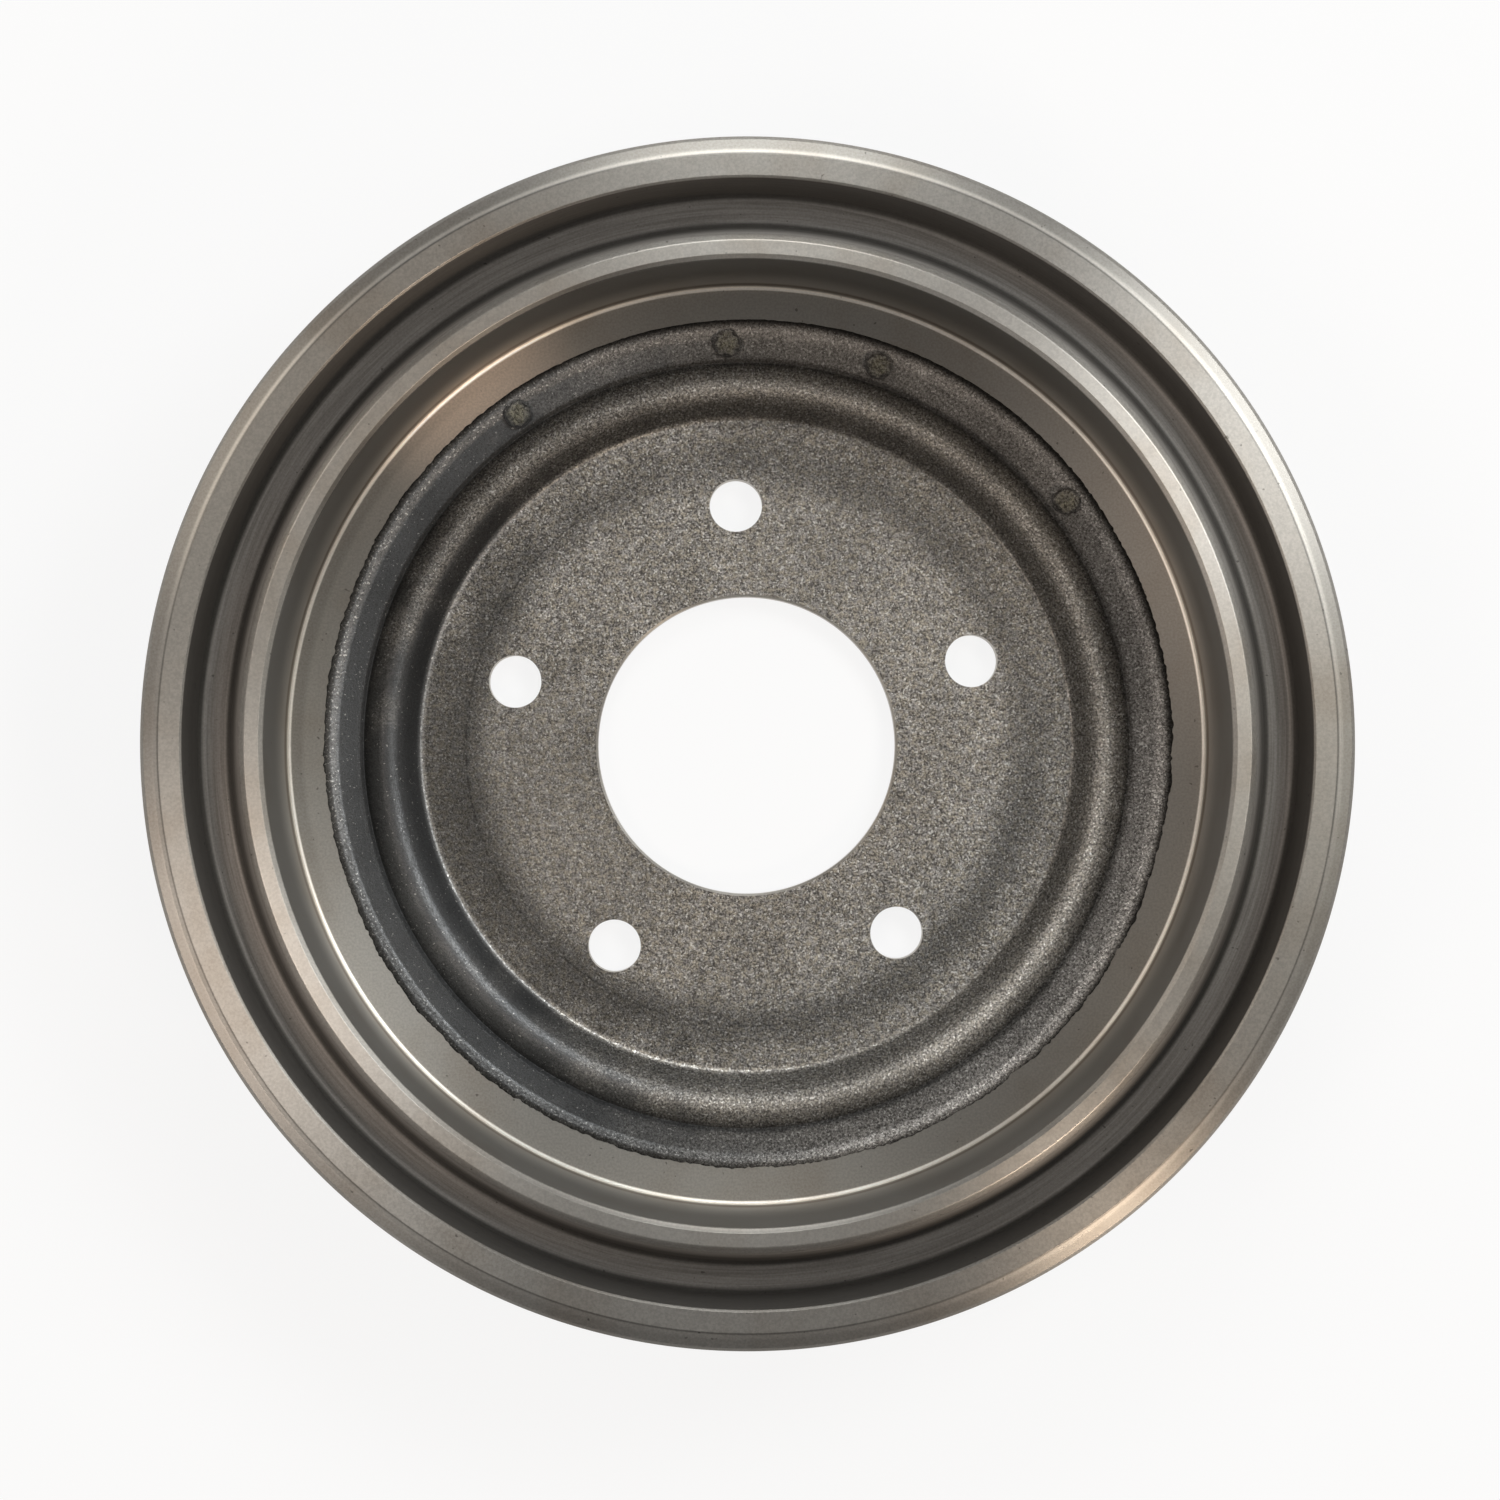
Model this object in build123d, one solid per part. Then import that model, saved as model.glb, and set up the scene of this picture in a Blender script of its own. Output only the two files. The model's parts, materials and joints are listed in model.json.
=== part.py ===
from build123d import *
import math
import os

# Brake drum, one grey-iron casting turned on its working surfaces.
# Sizes are in millimetres. The drum's axis is Z. The flat face that meets the wheel
# lies at Z = 0, and the open side, with the lip and the flange, faces up.

# Braking surface and the wall round it
braking_diameter = 241.4
overall_height = 67.5
wall_thickness = 8.2
wall_draft = 1.0
wall_foot_round = 9.0
web_thickness = 7.0
web_cone_rise = 2.3

# Hub disc with its bore and lug holes
hub_thickness = 6.7
hub_recess_depth = 5.3
hub_bore_diameter = 78.7
hub_bore_chamfer = 0.5
wheel_face_overhang = 2.5
shoulder_run = 2.4
lug_circle_diameter = 127.0
lug_hole_diameter = 13.9
lug_hole_count = 5
lug_first_angle = 20.6

# Inner side of the web, from the braking surface inwards: the machined relief, the cast
# band with its crest, its step and its flat down to the valley, and the cast ridge. Rises
# and drops are counted from the relief's floor. The apex is where the ridge's flanks would
# meet if its top weren't round.
relief_width = 9.1
relief_corner_chamfer = 0.9
band_width = 10.7
band_crest_inset = 1.8
band_crest_rise = 0.6
band_step_width = 2.5
band_step_drop = 0.3
band_flat_width = 5.4
band_flat_drop = 0.7
valley_drop = 1.6
ridge_width = 14.8
ridge_apex_inset = 6.9
ridge_apex_rise = 1.5
ridge_round = 5.0

# Cast location buttons on the band, by their angle round the axis
button_inset = 5.8
button_diameter = 7.0
button_rise = 0.9
button_angles = (37.4, 70.8, 92.8, 124.7)

# Lip at the open end, from the braking surface outwards
lip_chamfer = 1.2
lip_face_width = 3.5
lip_bevel_width = 1.7
lip_bevel_depth = 1.3

# Annular groove that takes the backing plate's edge, from the lip outwards
groove_depth = 14.0
groove_inner_run = 3.1
groove_foot_run = 1.6
groove_foot_rise = 1.6
groove_floor_width = 5.4
groove_floor_thickness = 5.5
groove_outer_run = 2.2

# Flange round the groove
face_inner_chamfer = 0.5
face_width = 5.7
land_width = 4.8
land_drop = 1.8
flange_root_chamfer = 3.5
flange_back_chamfer = 1.5

# A round takes at most this share of the shorter of the two sides that it joins.
round_share = 0.45


# Radii, from the bore outwards
bore_radius = hub_bore_diameter / 2
braking_radius = braking_diameter / 2
relief_inner_radius = braking_radius - relief_width
band_crest_radius = relief_inner_radius - band_crest_inset
band_step_radius = band_crest_radius - band_step_width
band_flat_radius = band_step_radius - band_flat_width
valley_radius = relief_inner_radius - band_width
hub_face_radius = valley_radius - ridge_width
wheel_face_radius = hub_face_radius + wheel_face_overhang
wall_top_radius = braking_radius + wall_thickness
lip_inner_radius = braking_radius + lip_chamfer
lip_outer_radius = lip_inner_radius + lip_face_width
lip_bevel_radius = lip_outer_radius + lip_bevel_width
groove_inner_foot_radius = lip_bevel_radius + groove_inner_run
groove_floor_inner_radius = groove_inner_foot_radius + groove_foot_run
groove_floor_outer_radius = groove_floor_inner_radius + groove_floor_width
groove_outer_foot_radius = groove_floor_outer_radius + groove_foot_run
face_inner_radius = groove_outer_foot_radius + groove_outer_run
face_outer_radius = face_inner_radius + face_width
flange_radius = face_outer_radius + land_width

# Heights, from the wheel face upwards
relief_z = hub_thickness + hub_recess_depth
wall_foot_z = relief_z - web_thickness
shoulder_z = wall_foot_z - web_cone_rise
rim_z = overall_height
groove_floor_z = rim_z - groove_depth
flange_back_z = groove_floor_z - groove_floor_thickness


def hub_bore_section():
    """The hub bore's wall, chamfered at both ends, from the inside out."""
    return [
        (bore_radius + hub_bore_chamfer, hub_thickness, 0),
        (bore_radius, hub_thickness - hub_bore_chamfer, 0),
        (bore_radius, hub_bore_chamfer, 0),
        (bore_radius + hub_bore_chamfer, 0, 0),
    ]


def outside_section():
    """The wheel face, its shoulder, the web's cone, the drafted outer wall and its root."""
    wall_height = flange_back_z - wall_foot_z
    wall_foot_radius = wall_top_radius - wall_height * math.tan(math.radians(wall_draft))
    return [
        (wheel_face_radius, 0, 0),
        (wheel_face_radius + shoulder_run, shoulder_z, 0),
        (wall_foot_radius, wall_foot_z, wall_foot_round),
        (wall_top_radius, flange_back_z - flange_root_chamfer, 0),
        (wall_top_radius + flange_root_chamfer, flange_back_z, 0),
    ]


def flange_section():
    """The flange's back, its edge, the land that falls away outwards and the flat face."""
    return [
        (flange_radius - flange_back_chamfer, flange_back_z, 0),
        (flange_radius, flange_back_z + flange_back_chamfer, 0),
        (flange_radius, rim_z - land_drop, 0),
        (face_outer_radius, rim_z, 0),
        (face_inner_radius + face_inner_chamfer, rim_z, 0),
        (face_inner_radius, rim_z - face_inner_chamfer, 0),
    ]


def groove_section():
    """The annular groove: its outer wall, its floor with bevelled feet and its inner wall."""
    return [
        (groove_outer_foot_radius, groove_floor_z + groove_foot_rise, 0),
        (groove_floor_outer_radius, groove_floor_z, 0),
        (groove_floor_inner_radius, groove_floor_z, 0),
        (groove_inner_foot_radius, groove_floor_z + groove_foot_rise, 0),
    ]


def lip_section():
    """The lip's bevel and face, the braking surface and the relief's corner below it."""
    return [
        (lip_bevel_radius, rim_z - lip_bevel_depth, 0),
        (lip_outer_radius, rim_z, 0),
        (lip_inner_radius, rim_z, 0),
        (braking_radius, rim_z - lip_chamfer, 0),
        (braking_radius, relief_z + relief_corner_chamfer, 0),
        (braking_radius - relief_corner_chamfer, relief_z, 0),
    ]


def cast_web_section():
    """The cast band, stepped down to the valley, and the ridge beside the hub disc."""
    return [
        (relief_inner_radius, relief_z, 0),
        (band_crest_radius, relief_z + band_crest_rise, 0),
        (band_step_radius, relief_z - band_step_drop, 0),
        (band_flat_radius, relief_z - band_flat_drop, 0),
        (valley_radius, relief_z - valley_drop, 0),
        (valley_radius - ridge_apex_inset, relief_z + ridge_apex_rise, ridge_round),
        (hub_face_radius, hub_thickness, 0),
    ]


def fitted_rounds(corners):
    """Each corner's radius, limited by the length of the sides beside it."""
    radii = []
    for index, (radius, height, wanted) in enumerate(corners):
        here = Vector(radius, height)
        before = Vector(*corners[index - 1][:2]) - here
        after = Vector(*corners[(index + 1) % len(corners)][:2]) - here
        turn = math.radians(180 - before.get_angle(after))
        room = round_share * min(before.length, after.length)
        radii.append(min(wanted, room / math.tan(turn / 2)))
    return radii


def turned_body():
    """The drum's section, turned once round the axis."""
    corners = (
        hub_bore_section()
        + outside_section()
        + flange_section()
        + groove_section()
        + lip_section()
        + cast_web_section()
    )
    with BuildPart() as body:
        with BuildSketch(Plane.XZ):
            with BuildLine():
                points = [(radius, height) for radius, height, _ in corners]
                FilletPolyline(*points, radius=fitted_rounds(corners), close=True)
            make_face()
        revolve(axis=Axis.Z)
    return body.part


def lug_holes():
    """The tools that cut the lug holes, evenly spaced on their circle."""
    with BuildPart() as holes:
        with BuildSketch():
            with PolarLocations(lug_circle_diameter / 2, lug_hole_count, lug_first_angle):
                Circle(lug_hole_diameter / 2)
        extrude(amount=hub_thickness)
    return holes.part


def cast_button(angle):
    """One low round button, sunk into the band down to the valley's level."""
    button_height = button_rise + valley_drop
    place = Vector(relief_inner_radius - button_inset, 0).rotate(Axis.Z, angle)
    with BuildPart() as button:
        with Locations((place.X, place.Y, relief_z - valley_drop)):
            Cylinder(button_diameter / 2, button_height, align=(Align.CENTER, Align.CENTER, Align.MIN))
    return button.part


def brake_drum():
    """The finished casting: the turned body, its lug holes and its cast buttons."""
    drum = turned_body() - lug_holes()
    for angle in button_angles:
        drum += cast_button(angle)
    return drum


os.makedirs("parts", exist_ok=True)
export_step(brake_drum(), "parts/brake_drum.step")
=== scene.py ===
import json
import math
from types import SimpleNamespace

import bpy
from mathutils import Matrix, Vector


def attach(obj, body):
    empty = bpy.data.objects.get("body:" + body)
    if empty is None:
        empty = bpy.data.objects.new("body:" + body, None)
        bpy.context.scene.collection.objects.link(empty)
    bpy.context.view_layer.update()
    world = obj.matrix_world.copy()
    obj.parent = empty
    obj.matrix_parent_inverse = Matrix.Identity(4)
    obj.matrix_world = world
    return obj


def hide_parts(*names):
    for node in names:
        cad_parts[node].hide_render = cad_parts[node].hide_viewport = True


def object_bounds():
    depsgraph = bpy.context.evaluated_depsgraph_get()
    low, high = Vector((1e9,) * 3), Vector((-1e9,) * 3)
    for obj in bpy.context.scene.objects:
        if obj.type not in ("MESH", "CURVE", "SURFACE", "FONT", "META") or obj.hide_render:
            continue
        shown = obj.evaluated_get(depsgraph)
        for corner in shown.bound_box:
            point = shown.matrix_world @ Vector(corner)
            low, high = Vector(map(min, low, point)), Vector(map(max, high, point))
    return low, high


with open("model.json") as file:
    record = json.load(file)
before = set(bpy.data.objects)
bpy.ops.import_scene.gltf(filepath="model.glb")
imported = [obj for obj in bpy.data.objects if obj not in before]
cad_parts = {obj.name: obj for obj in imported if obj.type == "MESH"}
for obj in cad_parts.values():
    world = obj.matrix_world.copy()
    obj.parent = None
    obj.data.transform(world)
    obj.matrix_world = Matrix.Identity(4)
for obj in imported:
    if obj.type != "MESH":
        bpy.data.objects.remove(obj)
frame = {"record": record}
cad_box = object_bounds()


# The iron as it leaves the mould and the shot blast. Cast grey iron has a grainy, sparkling
# skin; it shows on the web, on the hub disc and over the whole outside of the drum.
# Peaks of the grain are rubbed bright and its hollows stay dark; the web's creases get painted shade.
mm = 0.001
cast_colour = (0.66, 0.64, 0.61)
cast_warm_colour = (0.69, 0.633, 0.52)
cast_dark_colour = (0.108, 0.1, 0.093)
slate_colour = (0.295, 0.302, 0.308)
slate_dark_colour = (0.115, 0.116, 0.116)
glint_colour = (1.0, 0.985, 0.94)
ochre_colour = (0.74, 0.71, 0.54)
ochre_dark_colour = (0.1, 0.092, 0.07)
grain_size = 0.6 * mm
spark_size = 0.65 * mm
tint_size = 1.4 * mm
lump_size = 2.2 * mm
cloud_size = 16 * mm
grain_depth = 0.22 * mm
outer_skin_shade = 0.62

# One side of the web kept a smoother, slate-coloured skin. Directions are in degrees round
# the axis from +X, with +Y at 90.
slate_side = 185
ridge_slate_side = 203

mounts = {mount["name"]: mount for mount in frame["record"]["mounts"]}
bore_radius = mounts["hub_bore"]["dims"]["r_mm"] * mm
braking_radius = mounts["braking_surface"]["dims"]["r_mm"] * mm
lug_circle_radius = mounts["lug_holes"]["dims"]["pcd_mm"] / 2 * mm
hub_face_z = mounts["hub_face"]["pos_m"][2]

# The web's inner side, from the braking wall inwards.
relief_width = 9.1 * mm
band_width = 10.7 * mm
band_crest_inset = 1.8 * mm
band_step_width = 2.5 * mm
band_flat_width = 5.4 * mm
ridge_width = 14.8 * mm
ridge_apex_inset = 6.9 * mm
relief_inner_radius = braking_radius - relief_width
band_crest_radius = relief_inner_radius - band_crest_inset
band_step_radius = band_crest_radius - band_step_width
band_flat_radius = band_step_radius - band_flat_width
valley_radius = relief_inner_radius - band_width
ridge_apex_radius = valley_radius - ridge_apex_inset
hub_edge_radius = valley_radius - ridge_width
dark_ring_radius = lug_circle_radius + 10.5 * mm

# Skin tone out to the relief: painted shade in creases and on steep flanks, a painted highlight on the
# ridge.
hub_disc_shades = (
    (bore_radius, 0.60), (lug_circle_radius + 2.5 * mm, 0.70), (lug_circle_radius + 7.5 * mm, 0.62),
    (hub_edge_radius - 8.1 * mm, 0.55), (hub_edge_radius - 2.1 * mm, 0.68),
)
ridge_painted_shades = (
    (hub_edge_radius + 0.1 * mm, 0.52), (hub_edge_radius + 1.1 * mm, 0.25),
    (hub_edge_radius + 3.9 * mm, 0.25), (ridge_apex_radius - 1.6 * mm, 0.66),
    (ridge_apex_radius + 0.8 * mm, 1.1), (ridge_apex_radius + 3.0 * mm, 0.8),
    (valley_radius - 1.4 * mm, 0.33), (valley_radius - 0.2 * mm, 0.15),
)
band_painted_shades = (
    (valley_radius + 0.6 * mm, 0.2), (valley_radius + 1.7 * mm, 0.5),
    (band_step_radius - 1.8 * mm, 0.6), (band_step_radius, 0.62),
    (band_crest_radius - 1.0 * mm, 0.86), (band_crest_radius + 0.5 * mm, 0.8),
    (relief_inner_radius - 0.4 * mm, 0.2), (relief_inner_radius + 0.2 * mm, 0.06),
)

# The skin changes at the four low round buttons on the band, so their places are set here.
button_angles = (37.4, 70.8, 92.8, 124.7)
button_radius = 3.5 * mm
button_circle_radius = relief_inner_radius - 5.8 * mm


def add_node(tree, kind, inputs=None, **settings):
    """A node of the tree. Inputs are set by name or number, to a value or to another node's output."""
    node = tree.nodes.new(kind)
    for name, value in settings.items():
        setattr(node, name, value)
    for name, value in (inputs or {}).items():
        if isinstance(value, bpy.types.NodeSocket):
            tree.links.new(value, node.inputs[name])
        else:
            node.inputs[name].default_value = value
    return node


def maths(tree, operation, *terms):
    """The result of one sum on numbers or on outputs."""
    node = add_node(tree, "ShaderNodeMath", dict(enumerate(terms)), operation=operation)
    return node.outputs["Value"]


def total(tree, *terms):
    """All the terms added together."""
    result = terms[0]
    for term in terms[1:]:
        result = maths(tree, "ADD", result, term)
    return result


def product(tree, *terms):
    """All the terms multiplied together."""
    result = terms[0]
    for term in terms[1:]:
        result = maths(tree, "MULTIPLY", result, term)
    return result


def without(tree, whole, *shares):
    """The whole after each share of it has been taken away in turn."""
    for share in shares:
        whole = product(tree, whole, maths(tree, "SUBTRACT", 1.0, share))
    return whole


def fade(tree, value, start, end, low=0.0, high=1.0):
    """Goes smoothly from low at start to high at end."""
    node = add_node(tree, "ShaderNodeMapRange", {
        "Value": value, "From Min": start, "From Max": end, "To Min": low, "To Max": high,
    }, interpolation_type="SMOOTHSTEP")
    return node.outputs["Result"]


def fade_evenly(tree, value, start, end, low=0.0, high=1.0):
    """Goes in a straight line from low at start to high at end."""
    node = add_node(tree, "ShaderNodeMapRange", {
        "Value": value, "From Min": start, "From Max": end, "To Min": low, "To Max": high,
    })
    return node.outputs["Result"]


def peak_at(tree, value, middle, half_width):
    """One at the middle, and nothing beyond half a width from it."""
    distance = maths(tree, "ABSOLUTE", maths(tree, "SUBTRACT", value, middle))
    return fade(tree, distance, 0.0, half_width, 1.0, 0.0)


def between(tree, value, start, end, soft):
    """One between start and end, and nothing beyond their soft edges."""
    return product(tree, fade(tree, value, start - soft, start), fade(tree, value, end + soft, end))


def noise(tree, place, size, detail, roughness):
    """Cloudy noise between nothing and one, with features about one size across."""
    node = add_node(tree, "ShaderNodeTexNoise", {
        "Vector": place, "Scale": 1 / size, "Detail": detail, "Roughness": roughness,
    })
    return node.outputs["Fac"]


def off_middle(tree, cloudy):
    """How far a noise lies over its middle value, or under it."""
    return maths(tree, "SUBTRACT", cloudy, 0.5)


def mix_colour(tree, share, first, second):
    """First colour where the share is nothing, second colour where it is one."""
    node = add_node(tree, "ShaderNodeMix", {"Factor": share}, data_type="RGBA")
    for number, colour in ((6, first), (7, second)):
        if isinstance(colour, bpy.types.NodeSocket):
            tree.links.new(colour, node.inputs[number])
        else:
            node.inputs[number].default_value = (*colour, 1)
    return node.outputs[2]


def new_finish(name):
    """An empty material, its tree and its surface shader."""
    material = bpy.data.materials.new(name)
    material.use_nodes = True
    tree = material.node_tree
    tree.nodes.clear()
    output = tree.nodes.new("ShaderNodeOutputMaterial")
    shader = tree.nodes.new("ShaderNodeBsdfPrincipled")
    tree.links.new(shader.outputs["BSDF"], output.inputs["Surface"])
    return material, tree, shader


def lay_colour(tree, shader, colour, shade):
    """Gives the surface the colour, made as bright as the shade says."""
    shaded = add_node(tree, "ShaderNodeVectorMath", {0: colour, "Scale": shade}, operation="SCALE")
    tree.links.new(shaded.outputs["Vector"], shader.inputs["Base Color"])


def spot_on_drum(tree):
    """Where the point lies: its place, its height, its distance from the axis and its direction."""
    place = add_node(tree, "ShaderNodeTexCoord").outputs["Object"]
    split = add_node(tree, "ShaderNodeSeparateXYZ", {"Vector": place})
    x, y = split.outputs["X"], split.outputs["Y"]
    radius = maths(tree, "SQRT", total(tree, product(tree, x, x), product(tree, y, y)))
    return SimpleNamespace(
        place=place, x=x, y=y, height=split.outputs["Z"], radius=radius,
        cosine=maths(tree, "DIVIDE", x, radius), sine=maths(tree, "DIVIDE", y, radius))


def facing(tree, spot, degrees):
    """One where the point lies in that direction from the axis, minus one on the opposite side."""
    angle = math.radians(degrees)
    return total(tree, product(tree, spot.cosine, math.cos(angle)),
                 product(tree, spot.sine, math.sin(angle)))


def toward(tree, spot, degrees, start, end, low=0.0, high=1.0):
    """Goes smoothly from low to high as the point's direction nears the given one."""
    return fade(tree, facing(tree, spot, degrees), start, end, low, high)


def radial_shade(tree, radius, stops):
    """A shade that changes smoothly with the distance from the axis, through stops of (radius, shade)."""
    first, last = stops[0][0], stops[-1][0]
    ramp = add_node(tree, "ShaderNodeValToRGB", {"Fac": fade_evenly(tree, radius, first, last)})
    ramp.color_ramp.interpolation = "B_SPLINE"
    elements = ramp.color_ramp.elements
    while len(elements) < len(stops):
        elements.new(0.5)
    for element, (stop_radius, shade) in zip(elements, stops):
        element.position = (stop_radius - first) / (last - first)
        element.color = (shade, shade, shade, 1)
    return ramp.outputs["Color"]


def from_button(tree, spot):
    """The point's distance from the middle of the nearest button."""
    nearest = 1.0
    for angle in button_angles:
        across = maths(tree, "SUBTRACT", spot.x, button_circle_radius * math.cos(math.radians(angle)))
        along = maths(tree, "SUBTRACT", spot.y, button_circle_radius * math.sin(math.radians(angle)))
        square = total(tree, product(tree, across, across), product(tree, along, along))
        nearest = maths(tree, "MINIMUM", nearest, maths(tree, "SQRT", square))
    return nearest


def slate_share(tree, skin):
    """How far the skin is slate, on the flank, on the ridge and on the band."""
    flank_slate = fade(tree, skin.toward_slate, 0.3, 0.85)
    ridge_slate = fade(tree, skin.toward_ridge_slate, 0.45, 0.95)
    band_slate = fade(tree, skin.toward_slate, -0.1, 0.65)
    band_slate = without(tree, band_slate, product(tree, skin.on_crest, 0.3))
    slate = fade_evenly(tree, skin.beyond_flank, 0.0, 1.0, flank_slate, ridge_slate)
    slate = fade_evenly(tree, skin.on_band, 0.0, 1.0, slate, band_slate)
    return product(tree, slate, skin.beyond_hub, skin.inside)


def dark_bluish_ring(tree, skin):
    """A bluish ring outside the lug holes, strongest toward the slate side and the lower right."""
    reach = total(tree, fade(tree, skin.toward_ridge_slate, 0.1, 0.9, 0.4, 0.85),
                  toward(tree, skin, 312, 0.6, 0.95, 0.0, 0.3))
    patchy = fade(tree, skin.lumps, 0.3, 0.7, 0.45, 1.0)
    return product(tree, peak_at(tree, skin.radius, dark_ring_radius, 9 * mm), patchy, reach, skin.inside)


def read_skin(tree):
    """What the skin is like at a point: its noises, and its stretch of the web."""
    skin = spot_on_drum(tree)
    radius = skin.radius
    skin.grain = noise(tree, skin.place, grain_size, 4.0, 0.75)
    skin.sparks = noise(tree, skin.place, spark_size, 1.0, 0.5)
    skin.tint = noise(tree, skin.place, tint_size, 1.0, 0.5)
    skin.lumps = noise(tree, skin.place, lump_size, 3.0, 0.6)
    skin.clouds = noise(tree, skin.place, cloud_size, 3.0, 0.6)

    # the web's inner side, and its stretches from the hub disc outwards
    skin.inside = product(
        tree, fade(tree, skin.height, hub_face_z - 1.8 * mm, hub_face_z - 1.1 * mm),
        fade(tree, radius, relief_inner_radius + 4 * mm, relief_inner_radius + 3.5 * mm))
    skin.beyond_hub = fade(tree, radius, hub_edge_radius - 2 * mm, hub_edge_radius + mm)
    skin.on_disc = without(tree, 1.0, skin.beyond_hub)
    skin.on_edge = peak_at(tree, radius, hub_edge_radius - 0.1 * mm, 1.3 * mm)
    skin.on_flank = between(tree, radius, hub_edge_radius + 1.4 * mm, hub_edge_radius + 4.6 * mm, 0.8 * mm)
    skin.beyond_flank = fade(tree, radius, hub_edge_radius + 5 * mm, hub_edge_radius + 7 * mm)
    skin.on_band = fade(tree, radius, valley_radius - 0.4 * mm, valley_radius)
    skin.on_ridge = without(tree, skin.beyond_flank, skin.on_band)
    skin.on_crest = fade(tree, radius, band_step_radius, band_step_radius + 1.2 * mm)

    # the slate side has a cloudy border, and a button's outline is uneven
    cloudy = product(tree, off_middle(tree, skin.clouds), 0.9)
    skin.toward_slate = total(tree, facing(tree, skin, slate_side), cloudy)
    skin.toward_ridge_slate = total(tree, facing(tree, skin, ridge_slate_side), cloudy)
    skin.slate = slate_share(tree, skin)
    skin.ring = dark_bluish_ring(tree, skin)
    unevenness = fade_evenly(tree, skin.lumps, 0.3, 0.7, -0.55 * mm, 0.55 * mm)
    skin.from_button = total(tree, from_button(tree, skin), unevenness)
    return skin


def skin_colour(tree, skin):
    """Light grains over a dark ground, with a few bright facets painted whiter as glints, and a varied
    tint.
    """
    # the grain is lumpiest on the hub disc; its contrast is painted stronger toward the lower right and
    # upper left
    lumpy = fade_evenly(tree, skin.beyond_hub, 0.0, 1.0, 0.35, 0.08)
    speck = total(tree, skin.grain, product(tree, off_middle(tree, skin.lumps), lumpy))
    least = fade_evenly(tree, skin.on_band, 0.0, 1.0, 0.85, 0.6)
    painted_grain_contrast = fade_evenly(tree, facing(tree, skin, 310), -1.0, 1.0, least, 1.1)
    painted_grain_contrast = without(tree, painted_grain_contrast, toward(tree, skin, 207, 0.7, 0.97, 0.0, 0.2))
    painted_grain_contrast = product(tree, painted_grain_contrast, toward(tree, skin, 125, 0.75, 0.98, 1.0, 1.35))
    speck = total(tree, 0.5, product(tree, off_middle(tree, speck), painted_grain_contrast))

    # the hub disc's tint varies most, the ridge is evenly warm, and the band is the coolest
    warm = product(tree, fade(tree, skin.tint, 0.33, 0.67),
                   fade_evenly(tree, skin.beyond_hub, 0.0, 1.0, 1.0, 0.35))
    warm = total(tree, warm, product(tree, without(tree, skin.beyond_hub, skin.on_band), 0.25))
    warm = without(tree, warm, product(tree, skin.on_band, 0.7))
    light = mix_colour(tree, warm, cast_colour, cast_warm_colour)
    colour = mix_colour(tree, fade(tree, speck, 0.33, 0.71), cast_dark_colour, light)
    facet_glints = product(tree, fade(tree, skin.sparks, 0.61, 0.7, 0.0, 0.8), painted_grain_contrast)
    colour = mix_colour(tree, facet_glints, colour, glint_colour)

    # the slate skin has a weaker contrast and fewer painted glints, most of them on the band's crest
    slate_grain = mix_colour(tree, fade(tree, speck, 0.3, 0.74), slate_dark_colour, slate_colour)
    slate_glints = total(tree, skin.sparks, product(tree, skin.on_crest, 0.07))
    slate_glints = fade(tree, slate_glints, 0.69, 0.76, 0.0, 0.75)
    slate_grain = mix_colour(tree, slate_glints, slate_grain, glint_colour)
    bluish = maths(tree, "MAXIMUM", skin.slate, product(tree, skin.ring, 0.45))
    colour = mix_colour(tree, bluish, colour, slate_grain)

    # the tops of the buttons are ochre
    ochre_grain = mix_colour(tree, fade(tree, speck, 0.41, 0.63), ochre_dark_colour, ochre_colour)
    ochre = product(
        tree, fade(tree, skin.from_button, button_radius, button_radius - 1.6 * mm), skin.inside,
        fade(tree, skin.tint, 0.35, 0.65, 0.5, 0.95))
    return mix_colour(tree, ochre, colour, ochre_grain)


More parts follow.
